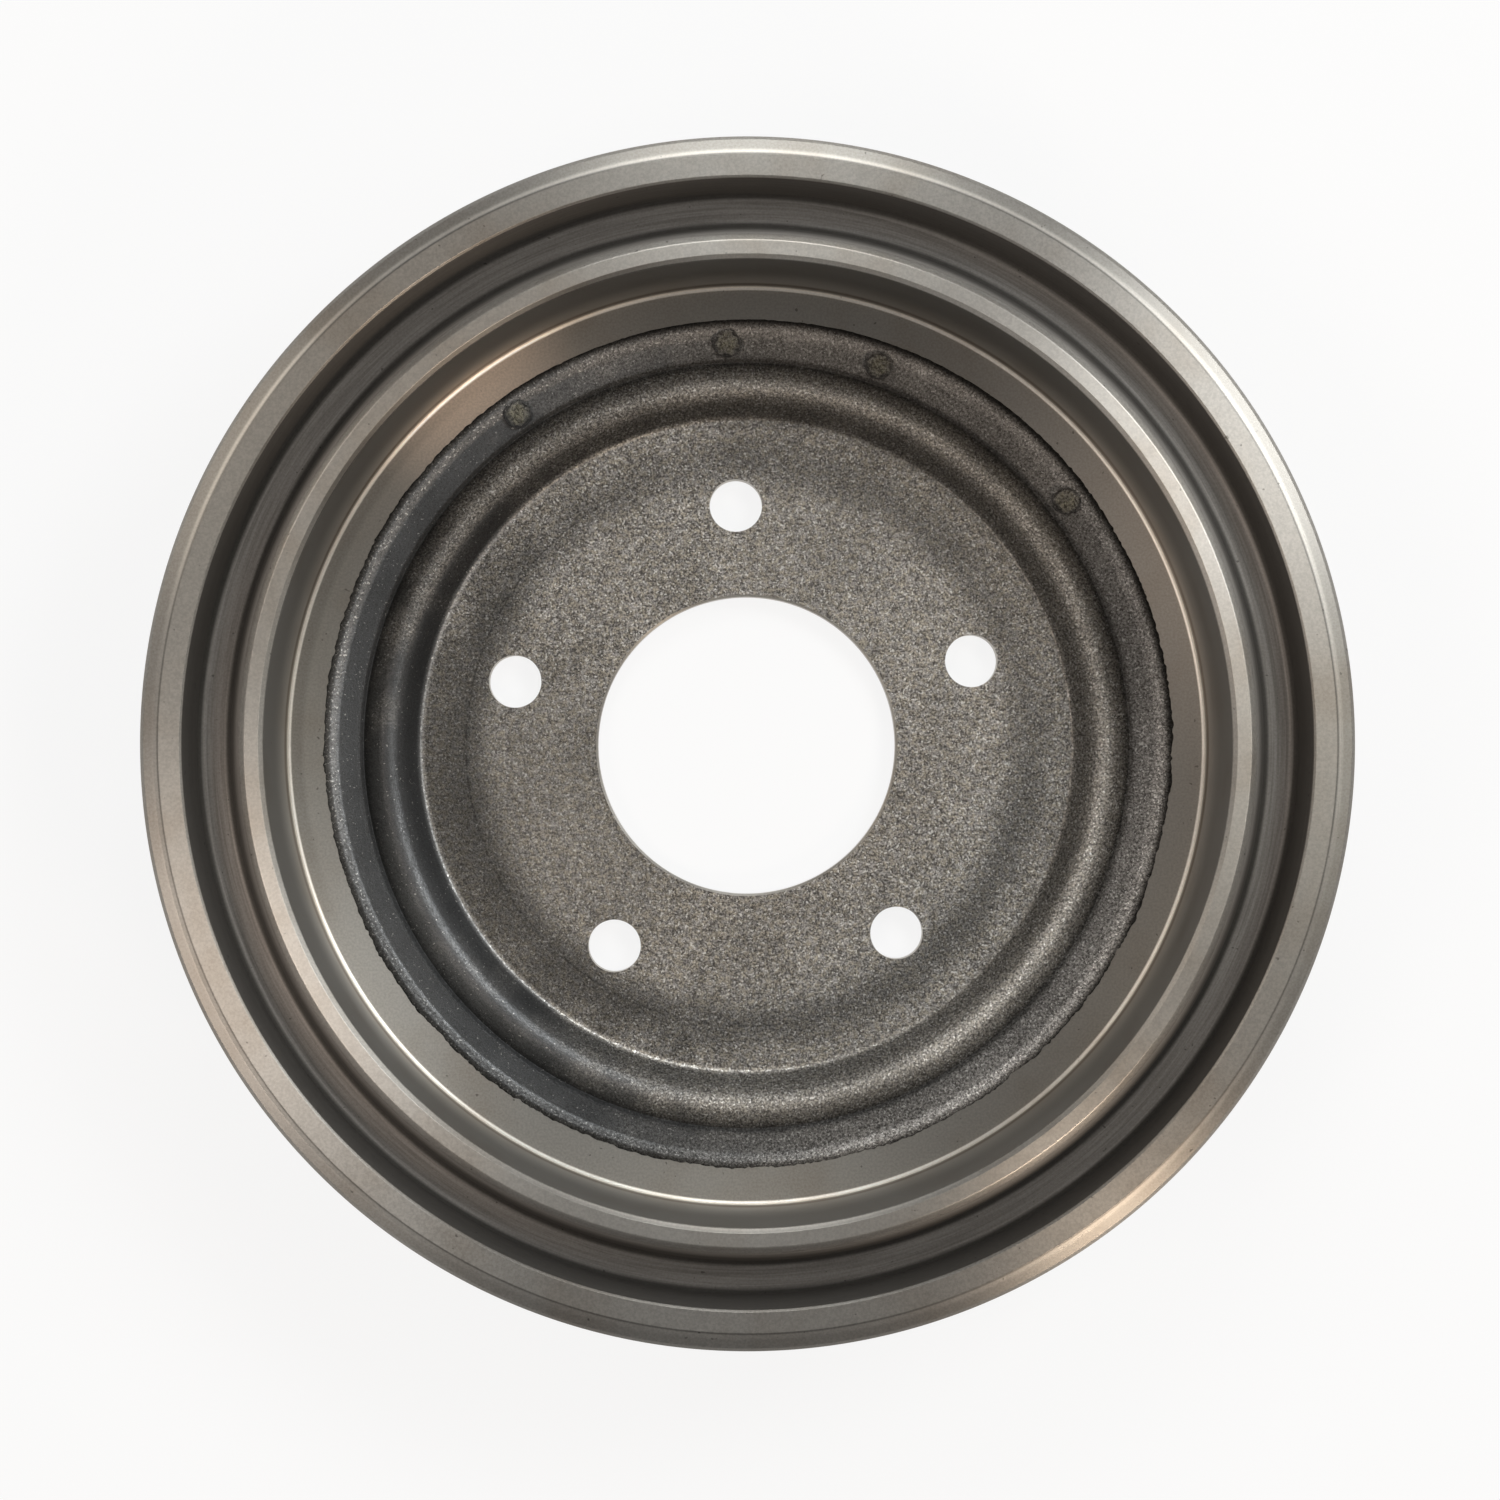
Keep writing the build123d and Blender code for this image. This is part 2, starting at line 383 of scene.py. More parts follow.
def skin_shade(tree, skin):
    """How bright the skin is, with painted shade in its creases and patches, painted light, and its lines.
    """
    ring_line = product(
        tree, peak_at(tree, skin.radius, dark_ring_radius + 0.2 * mm, 0.5 * mm),
        fade(tree, skin.lumps, 0.4, 0.55),
        fade(tree, skin.toward_ridge_slate, -0.2, 0.4, 0.1, 0.45), skin.inside)
    # painted shade round the foot of each button
    button_foot_shade = product(
        tree, peak_at(tree, skin.from_button, button_radius - 0.2 * mm, 0.8 * mm), skin.inside,
        fade(tree, skin.lumps, 0.35, 0.65, 0.3, 0.8))

    # painted shade: the hub disc is darker toward the slate side, and most so at its rim
    painted_rim_shade = product(
        tree, fade(tree, skin.radius, dark_ring_radius - 2 * mm, dark_ring_radius + 8 * mm), skin.on_disc,
        fade(tree, skin.toward_ridge_slate, 0.2, 0.95, 0.0, 0.45))
    painted_disc_shade = product(tree, fade(tree, skin.toward_ridge_slate, 0.2, 0.9, 0.0, 0.14), skin.on_disc)

    # beyond the disc, each stretch gets painted shade in its own direction, and painted light to the lower
    # right
    painted_top_shade = product(tree, toward(tree, skin, 95, -0.1, 1.0, 0.0, 0.2), skin.beyond_hub)
    painted_flank_shade = product(tree, toward(tree, skin, 130, 0.5, 0.95, 0.0, 0.28), skin.on_flank)
    painted_ridge_shade = product(tree, toward(tree, skin, 150, 0.5, 0.9, 0.0, 0.36), skin.on_ridge)
    painted_crest_shade = product(tree, toward(tree, skin, 233, 0.6, 0.97, 0.0, 0.6), skin.on_crest)
    painted_band_shade = product(tree, toward(tree, skin, 285, 0.6, 0.9, 0.0, 0.35),
                        without(tree, skin.on_band, skin.on_crest))
    painted_slate_shade = product(tree, skin.slate, skin.on_ridge, 0.18)
    # painted light on the flank and the ridge toward the lower right
    bright = total(tree, product(tree, toward(tree, skin, 290, 0.7, 0.97), skin.on_flank),
                   product(tree, toward(tree, skin, 330, 0.8, 0.98), skin.beyond_flank))

    shade = radial_shade(tree, skin.radius, hub_disc_shades + ridge_painted_shades + band_painted_shades)
    shade = without(tree, shade, product(tree, skin.ring, 0.7), ring_line, button_foot_shade, painted_rim_shade, painted_disc_shade,
                    painted_top_shade, painted_flank_shade, painted_ridge_shade, painted_crest_shade, painted_band_shade, painted_slate_shade)
    shade = product(tree, shade, total(tree, 1.0, product(tree, bright, 0.2)))
    shade = product(tree, shade, fade(tree, skin.clouds, 0.3, 0.72, 1.1, 0.86))

    # a painted highlight runs round the hub disc's edge, on its lower left and upper left
    painted_edge_highlight = total(tree, fade_evenly(tree, facing(tree, skin, 222), -0.1, 1.0, 0.0, 0.74),
                       toward(tree, skin, 130, 0.7, 0.98, 0.0, 0.4))
    shade = total(tree, shade, product(tree, skin.on_edge, painted_edge_highlight))
    return fade_evenly(tree, skin.inside, 0.0, 1.0, outer_skin_shade, shade)


def cast_finish():
    """Blasted as-cast skin."""
    material, tree, shader = new_finish("cast_iron")
    skin = read_skin(tree)
    lay_colour(tree, shader, skin_colour(tree, skin), skin_shade(tree, skin))
    shader.inputs["Metallic"].default_value = 0.7

    # the slate side and the round at the foot of the ridge are smooth enough to catch the light
    smooth = maths(tree, "MAXIMUM", skin.slate, product(tree, skin.on_edge, skin.inside, 0.9))
    smooth = without(tree, smooth, peak_at(tree, skin.radius, band_flat_radius - 0.2 * mm, 1.4 * mm))
    roughness = fade(tree, skin.grain, 0.3, 0.7, 0.68, 0.42)
    roughness = maths(tree, "SUBTRACT", roughness, product(tree, smooth, 0.18))
    tree.links.new(roughness, shader.inputs["Roughness"])
    lump_height = fade_evenly(tree, skin.beyond_hub, 0.0, 1.0, 1.6, 0.5)
    bump = add_node(tree, "ShaderNodeBump", {
        "Strength": fade_evenly(tree, smooth, 0.0, 1.0, 0.85, 0.42), "Distance": grain_depth,
        "Height": total(tree, skin.grain, product(tree, skin.lumps, lump_height)),
    })
    tree.links.new(bump.outputs["Normal"], shader.inputs["Normal"])
    return material


cast_iron = cast_finish()


# The faces cut on the lathe: the flange and its groove, the lip, the braking wall, the
# relief round its foot, and the hub bore. Fine feed marks run round the axis, so the light
# spreads out from the axis and stays narrow round it.
turned_colour = (0.467, 0.444, 0.406)
stain_colour = (0.30, 0.235, 0.17)
warm_reflection_colour = (0.915, 0.777, 0.663)
# The groove's colours stand partly for dark scale and partly for painted shade in the recess.
groove_colour = (0.43, 0.407, 0.38)
groove_dark_colour = (0.30, 0.281, 0.258)
groove_scale_and_shade_colour = (0.085, 0.08, 0.073)
feed_size = 0.35 * mm
streak_size = 0.7 * mm
speckle_size = 0.6 * mm
speck_size = 1.6 * mm
stain_size = 30 * mm
feed_depth = 0.008 * mm
rust_line_height = 5.4 * mm
warm_reflection_side = 128

# The flange and the groove, from the flange's edge inwards, the lip, and the relief's floor.
rim_z = cad_box[1].z
flange_radius = cad_box[1].x
land_width = 4.8 * mm
face_width = 5.7 * mm
groove_outer_run = 2.2 * mm
groove_foot_run = 1.6 * mm
groove_floor_width = 5.4 * mm
lip_chamfer = 1.2 * mm
lip_face_width = 3.5 * mm
hub_recess_depth = 5.3 * mm
relief_z = hub_face_z + hub_recess_depth
face_outer_radius = flange_radius - land_width
face_inner_radius = face_outer_radius - face_width
groove_outer_foot_radius = face_inner_radius - groove_outer_run
groove_floor_outer_radius = groove_outer_foot_radius - groove_foot_run
groove_floor_inner_radius = groove_floor_outer_radius - groove_floor_width
lip_inner_radius = braking_radius + lip_chamfer
lip_outer_radius = lip_inner_radius + lip_face_width


def read_cut(tree):
    """What the turned iron is like at a point: its noises, and the face that it lies on."""
    cut = spot_on_drum(tree)
    radius, height = cut.radius, cut.height
    along = add_node(tree, "ShaderNodeCombineXYZ", {
        "X": total(tree, radius, height),
        "Y": product(tree, cut.cosine, 3 * mm), "Z": product(tree, cut.sine, 3 * mm),
    }).outputs["Vector"]
    cut.feed = noise(tree, along, feed_size, 3.0, 0.6)
    cut.streaks = noise(tree, along, streak_size, 4.0, 0.7)
    cut.speckle = noise(tree, cut.place, speckle_size, 3.0, 0.6)
    cut.specks = noise(tree, cut.place, speck_size, 1.0, 0.5)
    cut.clouds = noise(tree, cut.place, stain_size, 3.0, 0.6)

    # the wall, the line of rust on it, the corner at its foot and the relief
    cut.wall = between(tree, radius, braking_radius - 0.1 * mm, braking_radius + 0.1 * mm, 0.2 * mm)
    cut.rust_line = product(
        tree, peak_at(tree, height, relief_z + rust_line_height, 3.8 * mm),
        fade(tree, radius, braking_radius - 0.5 * mm, braking_radius - 0.2 * mm))
    cut.corner = product(
        tree, fade(tree, height, relief_z + 1.15 * mm, relief_z + 0.8 * mm),
        fade(tree, radius, braking_radius - 1.1 * mm, braking_radius - 0.7 * mm))
    cut.relief = product(
        tree, fade(tree, height, relief_z + 0.3 * mm, relief_z + 0.1 * mm),
        fade(tree, radius, relief_inner_radius - 5 * mm, relief_inner_radius - 4 * mm))

    # the lip, the flange's land and the crease and edge beside its flat face
    cut.lip = product(
        tree, fade(tree, radius, lip_outer_radius + mm, lip_outer_radius),
        fade(tree, height, rim_z - 1.5 * mm, rim_z - mm))
    cut.lip_edge = product(
        tree, cut.lip, fade(tree, radius, lip_inner_radius + 0.1 * mm, lip_inner_radius - 0.2 * mm))
    cut.rim = fade(tree, radius, braking_radius + 0.3 * mm, braking_radius + mm)
    cut.land = product(
        tree, fade(tree, radius, face_outer_radius + 0.2 * mm, face_outer_radius + 0.6 * mm),
        fade(tree, height, rim_z - 2.5 * mm, rim_z - 2 * mm))
    cut.crease = peak_at(tree, radius, face_outer_radius + 0.2 * mm, 0.45 * mm)
    cut.face_edge = between(
        tree, radius, face_inner_radius + 0.1 * mm, face_inner_radius + 0.4 * mm, 0.1 * mm)

    # the groove, its outer wall, and the inner of its two feet
    cut.groove = product(
        tree, fade(tree, height, rim_z - 0.35 * mm, rim_z - 1.2 * mm),
        fade(tree, radius, lip_outer_radius, lip_outer_radius + 2.2 * mm),
        fade(tree, radius, face_inner_radius + 0.2 * mm, face_inner_radius + 0.1 * mm))
    cut.groove_wall = product(
        tree, cut.groove,
        fade(tree, radius, groove_floor_outer_radius - 0.3 * mm, groove_floor_outer_radius + 0.9 * mm),
        fade_evenly(tree, height, rim_z - 8 * mm, rim_z, 0.95, 0.8),
        toward(tree, cut, 95, 0.3, 0.95, 1.0, 0.86))
    cut.groove_foot = product(
        tree, fade(tree, height, rim_z - mm, rim_z - 11 * mm),
        fade(tree, radius, groove_floor_inner_radius + 0.4 * mm, groove_floor_inner_radius - 0.8 * mm),
        fade(tree, radius, lip_outer_radius, lip_outer_radius + 0.5 * mm))
    return cut


def cut_colour(tree, cut):
    """Grey iron with brown stains, a painted warm reflection on the relief, and a groove of dark scale and
    painted shade.
    """
    stain = maths(tree, "MAXIMUM", product(tree, fade(tree, cut.clouds, 0.45, 0.75), 0.3),
                  product(tree, cut.rust_line, 0.85))
    warm_reflection = product(tree, cut.relief, toward(tree, cut, warm_reflection_side, 0.958, 1.012),
                     fade(tree, cut.radius, relief_inner_radius, braking_radius - 2 * mm, 0.8, 1.0))
    colour = mix_colour(tree, stain, turned_colour, stain_colour)
    colour = mix_colour(tree, warm_reflection, colour, warm_reflection_colour)
    streaky_groove = mix_colour(tree, fade(tree, cut.streaks, 0.3, 0.7), groove_dark_colour, groove_colour)
    # the groove: partly dark scale, partly painted shade in the recess, darkest on its outer wall and inner
    # foot
    colour = mix_colour(tree, cut.groove, colour, streaky_groove)
    colour = mix_colour(tree, cut.groove_wall, colour, groove_scale_and_shade_colour)
    return mix_colour(tree, product(tree, cut.groove_foot, 0.85), colour, groove_scale_and_shade_colour)


def cut_shade(tree, cut):
    """How bright the turned iron is, with painted shade, painted highlights and dark specks."""
    # painted shade on the wall toward the lip and the top, with its rust line, and on the rim toward the
    # bottom
    wall_rust_and_shade = total(
        tree, fade(tree, cut.height, relief_z + 3 * mm, relief_z + 34 * mm, 0.08, 0.52),
        toward(tree, cut, 95, 0.0, 1.0, 0.0, 0.22), product(tree, cut.rust_line, 0.3))
    rim_painted_shade = product(tree, without(tree, cut.rim, product(tree, cut.groove, 0.8)),
                          toward(tree, cut, 270, 0.8, 0.97, 0.0, 0.28))
    # painted shade on the land's outer part, and a painted highlight on its inner part toward the top
    land_painted_shade = product(tree, cut.land, fade(
        tree, cut.radius, face_outer_radius + 0.8 * mm, face_outer_radius + 2.2 * mm, 0.0, 0.2))
    painted_land_highlight = product(tree, peak_at(tree, cut.radius, face_outer_radius + 0.9 * mm, 0.8 * mm),
                        toward(tree, cut, 75, -0.2, 0.5), 0.5)

    # painted shade on the relief to either side of its painted reflection, and on the edges near it
    top_relief_shade = product(tree, cut.relief, toward(tree, cut, 60, 0.1, 0.8, 0.0, 0.2))
    left_relief_shade = product(
        tree, cut.relief, toward(tree, cut, 163, 0.7, 0.97, 0.0, 0.2),
        fade(tree, cut.radius, relief_inner_radius + 4 * mm, braking_radius - 3 * mm))
    edges = maths(tree, "MAXIMUM", product(tree, cut.lip_edge, 0.6), product(tree, cut.face_edge, 0.35))
    painted_edge_shade = product(tree, edges, toward(tree, cut, 127, 0.8, 0.97))

    shade = fade(tree, cut.speckle, 0.3, 0.7, 0.89, 1.09)
    shade = without(tree, shade, fade(tree, cut.specks, 0.75, 0.8, 0.0, 0.45),
                    product(tree, cut.wall, wall_rust_and_shade), rim_painted_shade, land_painted_shade)
    # a painted highlight on the corner at the wall's foot, and a slightly brighter lip
    shade = total(tree, shade, product(tree, cut.corner, 1.2), product(tree, cut.lip, 0.2), painted_land_highlight)
    # painted shade on the edges, on the relief and in the crease beside the land
    return without(tree, shade, painted_edge_shade, top_relief_shade, left_relief_shade, product(tree, cut.crease, 0.45))


def turned_finish():
    """Satin lathe-cut iron with feed marks and faint brown stains."""
    material, tree, shader = new_finish("turned_iron")
    cut = read_cut(tree)
    lay_colour(tree, shader, cut_colour(tree, cut), cut_shade(tree, cut))
    shader.inputs["Metallic"].default_value = 1.0
    shader.inputs["Anisotropic"].default_value = 0.8
    shader.inputs["Anisotropic Rotation"].default_value = 0.25
    tangent = add_node(tree, "ShaderNodeTangent", direction_type="RADIAL", axis="Z")
    tree.links.new(tangent.outputs["Tangent"], shader.inputs["Tangent"])
    roughness = total(tree, fade(tree, cut.speckle, 0.3, 0.7, 0.37, 0.43), product(tree, cut.groove, 0.12),
                      product(tree, cut.corner, 0.03))
    tree.links.new(roughness, shader.inputs["Roughness"])
    marks = without(tree, total(tree, cut.feed, cut.speckle), cut.corner)
    bump = add_node(tree, "ShaderNodeBump", {"Strength": 0.3, "Distance": feed_depth, "Height": marks})
    tree.links.new(bump.outputs["Normal"], shader.inputs["Normal"])
    return material


turned_iron = turned_finish()


# The drum is one casting, so one section is turned once round the axis. The section starts
# at the top of the hub bore and goes down, round the outside, over the flange, through the
# groove and down the braking wall, and back over the web to the bore.
columns = 810
hub_bore_chamfer = 0.5 * mm
wheel_face_overhang = 2.5 * mm
shoulder_run = 2.4 * mm
web_thickness = 7.0 * mm
web_cone_rise = 2.3 * mm
wall_thickness = 8.2 * mm
wall_draft = math.radians(1.0)
groove_depth = 14.0 * mm
groove_floor_thickness = 5.5 * mm
groove_inner_run = 3.1 * mm
land_drop = 1.8 * mm
flange_root = 3.5 * mm
flange_back_chamfer = 1.5 * mm
band_crest_rise = 0.6 * mm
band_step_drop = 0.3 * mm
band_flat_drop = 0.7 * mm
valley_drop = 1.6 * mm
ridge_apex_rise = 1.5 * mm
wheel_face_radius = hub_edge_radius + wheel_face_overhang
wall_foot_z = relief_z - web_thickness
shoulder_z = wall_foot_z - web_cone_rise
wall_top_radius = braking_radius + wall_thickness
land_edge_z = rim_z - land_drop
groove_floor_z = rim_z - groove_depth
groove_inner_foot_radius = groove_floor_inner_radius - groove_foot_run
lip_bevel_radius = groove_inner_foot_radius - groove_inner_run
flange_back_z = groove_floor_z - groove_floor_thickness
wall_foot_radius = wall_top_radius - (flange_back_z - wall_foot_z) * math.tan(wall_draft)

# The border between cast skin and turned relief is ragged, and lies a little off the axis.
# The points within its reach move with it. Across from its ragged side it runs more evenly.
ragged_reach = 3.0 * mm
ragged_wander = 1.3 * mm
ragged_shift = (0.44 * mm, 0.5 * mm, 0)
ragged_side = math.radians(265)

TURNED, CAST = 0, 1
outer_skin = [
    # radius, height, round, steps in the round, finish of the stretch that follows
    (bore_radius + hub_bore_chamfer, hub_face_z, 0, 0, TURNED),
    (bore_radius, hub_face_z - hub_bore_chamfer, 0, 0, TURNED),
    (bore_radius, hub_bore_chamfer, 0, 0, TURNED),
    (bore_radius + hub_bore_chamfer, 0, 0, 0, TURNED),
    (wheel_face_radius, 0, 1.2 * mm, 3, CAST),
    (wheel_face_radius + shoulder_run, shoulder_z, 0.8 * mm, 3, CAST),
    (wall_foot_radius, wall_foot_z, 9.0 * mm, 7, CAST),
    (wall_top_radius, flange_back_z - flange_root, 2.5 * mm, 3, CAST),
    (wall_top_radius + flange_root, flange_back_z, 2.5 * mm, 3, CAST),
    (flange_radius - flange_back_chamfer, flange_back_z, 1.0 * mm, 2, CAST),
    (flange_radius, flange_back_z + flange_back_chamfer, 1.0 * mm, 2, TURNED),
]
flange = [
    (flange_radius, land_edge_z - 0.4 * mm, 0.5 * mm, 3, TURNED),
    (flange_radius - 0.9 * mm, land_edge_z + 0.45 * mm, 0.6 * mm, 3, TURNED),
    (face_outer_radius + 1.3 * mm, rim_z - 0.62 * mm, 1.2 * mm, 1, TURNED),
    (face_outer_radius, rim_z, 0.15 * mm, 1, TURNED),
    (face_inner_radius + 0.5 * mm, rim_z, 0.15 * mm, 2, TURNED),
    (face_inner_radius, rim_z - 0.5 * mm, 0.15 * mm, 2, TURNED),
]
groove = [
    (groove_outer_foot_radius - 0.35 * mm, groove_floor_z, 2.4 * mm, 6, TURNED),
    (groove_inner_foot_radius + 0.35 * mm, groove_floor_z, 2.4 * mm, 6, TURNED),
]
lip_and_wall = [
    (lip_bevel_radius, rim_z - 1.6 * mm, 3.0 * mm, 5, TURNED),
    (lip_outer_radius, rim_z, 0.6 * mm, 3, TURNED),
    (lip_inner_radius, rim_z, 0.2 * mm, 2, TURNED),
    (braking_radius, rim_z - lip_chamfer, 0.3 * mm, 2, TURNED),
    (braking_radius, relief_z, 0.9 * mm, 6, TURNED),
]
cast_web = [
    (relief_inner_radius, relief_z, 0, 0, CAST),
    (relief_inner_radius - 0.2 * mm, relief_z + 0.2 * mm, 0, 0, CAST),
    (band_crest_radius, relief_z + band_crest_rise, 2.0 * mm, 3, CAST),
    (band_step_radius, relief_z - band_step_drop, 2.0 * mm, 3, CAST),
    (band_flat_radius, relief_z - band_flat_drop, 0.5 * mm, 2, CAST),
    (valley_radius, relief_z - valley_drop, 0.3 * mm, 2, CAST),
    (ridge_apex_radius, relief_z + ridge_apex_rise, 5.0 * mm, 8, CAST),
    (hub_edge_radius, hub_face_z, 1.3 * mm, 4, CAST),
    ((hub_edge_radius + bore_radius) / 2, hub_face_z, 0, 0, CAST),
]


def rounded_section(corners):
    """The section's points in order, with each round as a few points on its arc, and their finishes."""
    points, finishes = [], []
    for index, (radius, height, wanted, steps, finish) in enumerate(corners):
        here = Vector((radius, height))
        if not steps:
            points.append(here)
            finishes.append(finish)
            continue
        before = Vector(corners[index - 1][:2]) - here
        after = Vector(corners[(index + 1) % len(corners)][:2]) - here
        turn = math.pi - before.angle(after)
        reach = min(wanted * math.tan(turn / 2), 0.49 * before.length, 0.49 * after.length)
        arc_radius = reach / math.tan(turn / 2)
        inward = (before.normalized() + after.normalized()).normalized()
        middle = here + inward * (arc_radius / math.cos(turn / 2))
        start = here + before.normalized() * reach - middle
        sense = 1 if before.cross(after) < 0 else -1
        for step in range(steps + 1):
            angle = sense * turn * step / steps
            swung = Vector((start.x * math.cos(angle) - start.y * math.sin(angle),
                            start.x * math.sin(angle) + start.y * math.cos(angle)))
            points.append(middle + swung)
            finishes.append(finish if step == steps else corners[index - 1][4])
    return points, finishes


section_points, section_finishes = rounded_section(outer_skin + flange + groove + lip_and_wall + cast_web)
section_mesh = bpy.data.meshes.new("drum_section")
section_mesh.from_pydata([(point.x, 0, point.y) for point in section_points], [], [])
cast_share = section_mesh.attributes.new("cast", "FLOAT", "POINT")
wander_share = section_mesh.attributes.new("wander", "FLOAT", "POINT")
for index, (point, finish) in enumerate(zip(section_points, section_finishes)):
    cast_share.data[index].value = finish
    off_border = abs(point.x - relief_inner_radius)
    if off_border < ragged_reach and abs(point.y - relief_z) < 2 * mm:
        wander_share.data[index].value = 1 - off_border / ragged_reach


def new_tree(name, sizes):
    """A Geometry Nodes tree with one geometry in and out, and the named inputs."""
    tree = bpy.data.node_groups.new(name, "GeometryNodeTree")
    tree.interface.new_socket("Geometry", in_out="INPUT", socket_type="NodeSocketGeometry")
    for label, kind in sizes.items():
        tree.interface.new_socket(label, in_out="INPUT", socket_type=kind)
    tree.interface.new_socket("Geometry", in_out="OUTPUT", socket_type="NodeSocketGeometry")
    return tree, tree.nodes.new("NodeGroupInput").outputs, tree.nodes.new("NodeGroupOutput").inputs


def use_tree(thing, tree, values):
    """Puts the tree on the object as a modifier, with its named inputs set."""
    modifier = thing.modifiers.new(tree.name, "NODES")
    modifier.node_group = tree
    for item in tree.interface.items_tree:
        if item.in_out == "INPUT" and item.name in values:
            modifier[item.identifier] = values[item.name]


def turning_tree():
    """Wraps a grid round the axis: each column of it is the section, turned a little further."""
    tree, given, made = new_tree("turn_the_section", {
        "Columns": "NodeSocketInt", "Edge wander": "NodeSocketFloat", "Edge shift": "NodeSocketVector",
        "Ragged side": "NodeSocketVector", "Seed": "NodeSocketFloat",
        "Turned": "NodeSocketMaterial", "Cast": "NodeSocketMaterial",
    })
    section = given["Geometry"]
    place = add_node(tree, "GeometryNodeInputPosition").outputs["Position"]

    def share(name):
        return add_node(tree, "GeometryNodeInputNamedAttribute", {"Name": name},
                        data_type="FLOAT").outputs["Attribute"]

    def of_section(kind, value, number):
        return add_node(tree, "GeometryNodeSampleIndex", {
            "Geometry": section, "Value": value, "Index": number,
        }, data_type=kind).outputs["Value"]

    # the grid has a row for each point of the section, and its last row and column close it
    count = add_node(tree, "GeometryNodeAttributeDomainSize", {"Geometry": section}).outputs["Point Count"]
    grid = add_node(tree, "GeometryNodeMeshGrid", {
        "Size X": 1.0, "Size Y": 1.0,
        "Vertices X": total(tree, count, 1.0), "Vertices Y": total(tree, given["Columns"], 1.0),
    }).outputs["Mesh"]
    split = add_node(tree, "ShaderNodeSeparateXYZ", {"Vector": place})
    row = product(tree, total(tree, split.outputs["X"], 0.5), count)
    point_number = maths(tree, "MODULO", maths(tree, "ROUND", row), count)
    stretch_number = maths(tree, "FLOOR", row)
    turn = product(tree, total(tree, split.outputs["Y"], 0.5), 2 * math.pi)

    # each face keeps the finish of its stretch of the section
    capture = add_node(tree, "GeometryNodeCaptureAttribute", {"Geometry": grid}, domain="FACE")
    capture.capture_items.new("FLOAT", "cast")
    tree.links.new(of_section("FLOAT", share("cast"), stretch_number), capture.inputs["cast"])

    # each point goes to its place on the section, turned, and wanders in or out at the border
    cosine, sine = maths(tree, "COSINE", turn), maths(tree, "SINE", turn)
    outward = add_node(tree, "ShaderNodeCombineXYZ", {"X": cosine, "Y": sine}).outputs["Vector"]
    round_line = add_node(tree, "ShaderNodeCombineXYZ", {
        "X": cosine, "Y": sine, "Z": given["Seed"],
    }).outputs["Vector"]

    def along(direction):
        return add_node(tree, "ShaderNodeVectorMath", {0: outward, 1: direction},
                        operation="DOT_PRODUCT").outputs["Value"]

    def ripple(size, detail, roughness):
        return off_middle(tree, add_node(tree, "ShaderNodeTexNoise", {
            "Vector": round_line, "Scale": size, "Detail": detail, "Roughness": roughness,
        }).outputs["Fac"])

    ragged = total(tree, ripple(9.0, 1.0, 0.5), product(tree, ripple(110.0, 2.0, 0.9), 1.4))
    ragged = product(tree, ragged, fade(tree, along(given["Ragged side"]), -1.0, -0.3, 0.3, 1.1))
    wander = total(tree, product(tree, ragged, given["Edge wander"]), along(given["Edge shift"]))
    wander = product(tree, wander, of_section("FLOAT", share("wander"), point_number))
    spot = add_node(tree, "ShaderNodeSeparateXYZ", {
        "Vector": of_section("FLOAT_VECTOR", place, point_number),
    })
    radius = total(tree, spot.outputs["X"], wander)
    wrapped = add_node(tree, "ShaderNodeCombineXYZ", {
        "X": product(tree, radius, cosine), "Y": product(tree, radius, sine), "Z": spot.outputs["Z"],
    }).outputs["Vector"]
    body = add_node(tree, "GeometryNodeSetPosition", {
        "Geometry": capture.outputs["Geometry"], "Position": wrapped,
    })
    body = add_node(tree, "GeometryNodeMergeByDistance", {
        "Geometry": body.outputs["Geometry"], "Distance": 0.001 * mm,
    })
    body = add_node(tree, "GeometryNodeSetMaterial", {
        "Geometry": body.outputs["Geometry"], "Material": given["Turned"],
    })
    is_cast = add_node(tree, "FunctionNodeCompare", {"A": capture.outputs["cast"], "B": 0.5})
    body = add_node(tree, "GeometryNodeSetMaterial", {
        "Geometry": body.outputs["Geometry"], "Selection": is_cast.outputs["Result"],
        "Material": given["Cast"],
    })
    tree.links.new(body.outputs["Geometry"], made["Geometry"])
    return tree


brake_drum = bpy.data.objects.new("drum_casting", section_mesh)
bpy.context.scene.collection.objects.link(brake_drum)
use_tree(brake_drum, turning_tree(), {
    "Columns": columns, "Edge wander": ragged_wander, "Edge shift": ragged_shift,
    "Ragged side": (math.cos(ragged_side), math.sin(ragged_side), 0), "Seed": 3.1,
    "Turned": turned_iron, "Cast": cast_iron,
})


# The five lug holes are drilled straight through the hub disc, evenly spaced on one circle,
# and their walls are left as drilled.
lug_hole_radius = mounts["lug_holes"]["dims"]["hole_r_mm"] * mm
lug_hole_count = mounts["lug_holes"]["dims"]["count"]
lug_first_angle = math.radians(20.6)
drill_length = 4 * hub_face_z
drill_sides = 64


